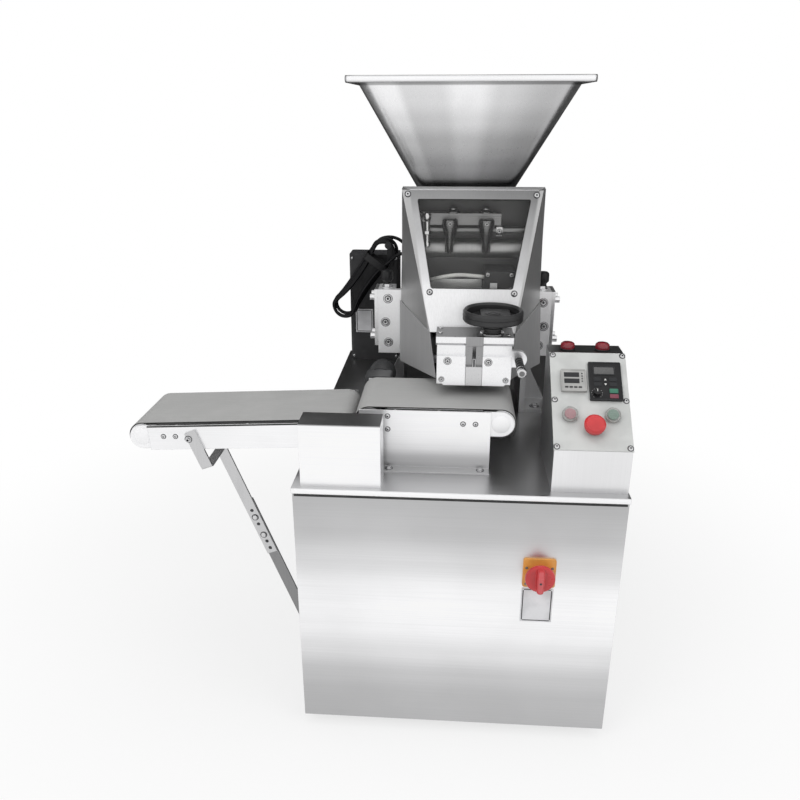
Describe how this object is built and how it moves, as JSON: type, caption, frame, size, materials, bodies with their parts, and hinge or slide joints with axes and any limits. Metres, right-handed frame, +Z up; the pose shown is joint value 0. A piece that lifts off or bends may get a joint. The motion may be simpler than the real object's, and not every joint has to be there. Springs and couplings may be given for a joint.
{
  "type": "dough divider",
  "caption": "Free-standing bakery dough divider with a hopper, twin feed screws, a gated die, a short belt, a long sloping outfeed belt and a sloping control box.",
  "frame": {"origin": "on the floor, under the middle of the machine's outer box", "axes": "+Z up, front with the isolator towards -Y, outfeed belt towards -X"},
  "size_m": [1, 0.9164, 1.325],
  "materials": {
    "stainless": "brushed stainless sheet",
    "bright_steel": "bright machined stainless",
    "frame_steel": "grey primer",
    "motor_paint": "grey-blue paint",
    "belt": "grey food belt",
    "black_plastic": "moulded black",
    "dark_housing": "dark grey moulded",
    "red_plastic": "glossy red",
    "amber_plastic": "amber moulded",
    "pale_paint": "pale grey paint",
    "green_plastic": "glossy green",
    "lamp_red": "clear red dome",
    "pale_plastic": "pale grey moulded",
    "hose_white": "white hose",
    "chain_steel": "oiled chain steel",
    "clear_pane": "clear pane",
    "cable": "black sheath",
    "foot_rubber": "black rubber"
  },
  "bodies": {
    "machine": {"base_frame": "frame_steel", "levelling_feet": "foot_rubber", "front_panel": "stainless", "side_panels": "stainless", "rear_panel": "stainless", "deck_plate": "stainless", "isolator_plate": "amber_plastic", "control_box": "stainless", "control_lid": "pale_paint", "timer_relay": "pale_plastic", "speed_keypad": "dark_housing", "button_bezels": "dark_housing", "pilot_lamps": "lamp_red", "drop_frame": "bright_steel", "drop_belt": "belt", "outfeed_frame": "bright_steel", "outfeed_belt": "belt", "roller_end_blocks": "bright_steel", "drive_cover": "bright_steel", "conveyor_gearmotor": "motor_paint", "conveyor_chain": "chain_steel", "strut_upper_bar": "stainless", "strut_lower_bar": "stainless", "strut_lug": "stainless", "pedestal": "bright_steel", "barrel_housing": "bright_steel", "ear_covers": "bright_steel", "main_gearmotor": "motor_paint", "nozzle_manifold": "bright_steel", "die_block": "bright_steel", "die_cover_plates": "bright_steel", "hood_shell": "stainless", "hood_window": "clear_pane", "lower_guards": "stainless", "hood_hose": "hose_white", "inverter_housing": "dark_housing", "cable_gland": "black_plastic", "supply_lead": "cable", "cable_hank": "cable", "power_plug": "black_plastic"},
    "isolator": {"isolator_knob": "red_plastic"},
    "dial": {"speed_dial": "black_plastic"},
    "start": {"start_button": "green_plastic"},
    "stop": {"stop_button": "red_plastic"},
    "estop": {"estop_button": "red_plastic"},
    "drop_drive": {"drop_drive_roller": "bright_steel"},
    "drop_tail": {"drop_tail_roller": "bright_steel"},
    "outfeed_head": {"outfeed_head_roller": "bright_steel"},
    "outfeed_tail": {"outfeed_tail_roller": "bright_steel"},
    "screw_left": {"feed_screw_left": "bright_steel"},
    "screw_right": {"feed_screw_right": "bright_steel"},
    "hopper_body": {"hopper": "stainless"},
    "gate": {"portion_gate": "bright_steel"},
    "wheel": {"handwheel": "black_plastic"},
    "pin": {"lock_pin": "bright_steel"},
    "knob_left": {"clamp_knob_left": "black_plastic"},
    "knob_right": {"clamp_knob_right": "black_plastic"},
    "rocker_arm": {"rocker": "bright_steel"},
    "cutter": {"cutter_roller": "bright_steel"}
  },
  "joints": [
    {"name": "isolator_turn", "type": "hinge", "parent": "machine", "child": "isolator", "pos_m": [0.34001, -0.42175, 0.416], "axis": [0, 1, 0], "range_deg": [0, 90]},
    {"name": "dial_turn", "type": "hinge", "parent": "machine", "child": "dial", "pos_m": [0.43801, -0.3168, 0.75129], "axis": [0, -0.6691, 0.7431], "range_deg": [-150, 150]},
    {"name": "start_press", "type": "slide", "parent": "machine", "child": "start", "axis": [0, 0.6691, -0.7431], "range_m": [0, 0.004], "stiffness_N_per_m": 900},
    {"name": "stop_press", "type": "slide", "parent": "machine", "child": "stop", "axis": [0, 0.6691, -0.7431], "range_m": [0, 0.004], "stiffness_N_per_m": 900},
    {"name": "estop_press", "type": "slide", "parent": "machine", "child": "estop", "axis": [0, 0.6691, -0.7431], "range_m": [0, 0.004], "stiffness_N_per_m": 1500},
    {"name": "drop_drive_spin", "type": "hinge", "parent": "machine", "child": "drop_drive", "pos_m": [-0.00199, -0.22575, 0.6835], "axis": [0, 1, 0], "continuous": true},
    {"name": "drop_tail_spin", "type": "hinge", "parent": "machine", "child": "drop_tail", "pos_m": [0.25901, -0.22575, 0.6835], "axis": [0, 1, 0], "continuous": true},
    {"name": "outfeed_head_spin", "type": "hinge", "parent": "machine", "child": "outfeed_head", "pos_m": [-0.06699, -0.22575, 0.6565], "axis": [0, 1, 0], "continuous": true},
    {"name": "outfeed_tail_spin", "type": "hinge", "parent": "machine", "child": "outfeed_tail", "pos_m": [-0.47151, -0.22575, 0.63686], "axis": [0, 1, 0], "continuous": true},
    {"name": "screw_left_spin", "type": "hinge", "parent": "machine", "child": "screw_left", "pos_m": [0.15151, 0.16825, 0.795], "axis": [0, 1, 0], "continuous": true},
    {"name": "screw_right_spin", "type": "hinge", "parent": "machine", "child": "screw_right", "pos_m": [0.21651, 0.16825, 0.795], "axis": [0, 1, 0], "continuous": true},
    {"name": "hopper_lift", "type": "slide", "parent": "machine", "child": "hopper_body", "axis": [0, 0, 1], "range_m": [0, 0.25]},
    {"name": "wheel_turn", "type": "hinge", "parent": "machine", "child": "wheel", "pos_m": [0.23901, -0.22352, 0.824], "axis": [0, 0, 1], "range_deg": [0, 1080]},
    {"name": "gate_lift", "type": "slide", "parent": "machine", "child": "gate", "axis": [0, 0, 1], "range_m": [0, 0.0121]},
    {"name": "pin_pull", "type": "slide", "parent": "machine", "child": "pin", "axis": [0, -1, 0], "range_m": [0, 0.012], "stiffness_N_per_m": 600},
    {"name": "knob_left_turn", "type": "hinge", "parent": "machine", "child": "knob_left", "pos_m": [0.00701, 0.01625, 0.881], "axis": [0, 0, 1], "continuous": true},
    {"name": "knob_right_turn", "type": "hinge", "parent": "machine", "child": "knob_right", "pos_m": [0.36101, 0.01625, 0.881], "axis": [0, 0, 1], "continuous": true},
    {"name": "rocker_swing", "type": "hinge", "parent": "machine", "child": "rocker_arm", "pos_m": [0.07801, -0.05975, 1.023], "axis": [1, 0, 0], "range_deg": [-5, 5]},
    {"name": "cutter_spin", "type": "hinge", "parent": "machine", "child": "cutter", "pos_m": [0.07801, -0.04975, 0.982], "axis": [1, 0, 0], "continuous": true}
  ],
  "couplings": [
    {"joint": "drop_tail_spin", "follows": "drop_drive_spin", "ratio": 1},
    {"joint": "outfeed_head_spin", "follows": "drop_drive_spin", "ratio": 1},
    {"joint": "outfeed_tail_spin", "follows": "drop_drive_spin", "ratio": 1},
    {"joint": "screw_right_spin", "follows": "screw_left_spin", "ratio": -1},
    {"joint": "gate_lift", "follows": "wheel_turn", "m_per_rad": 0.00063662}
  ]
}
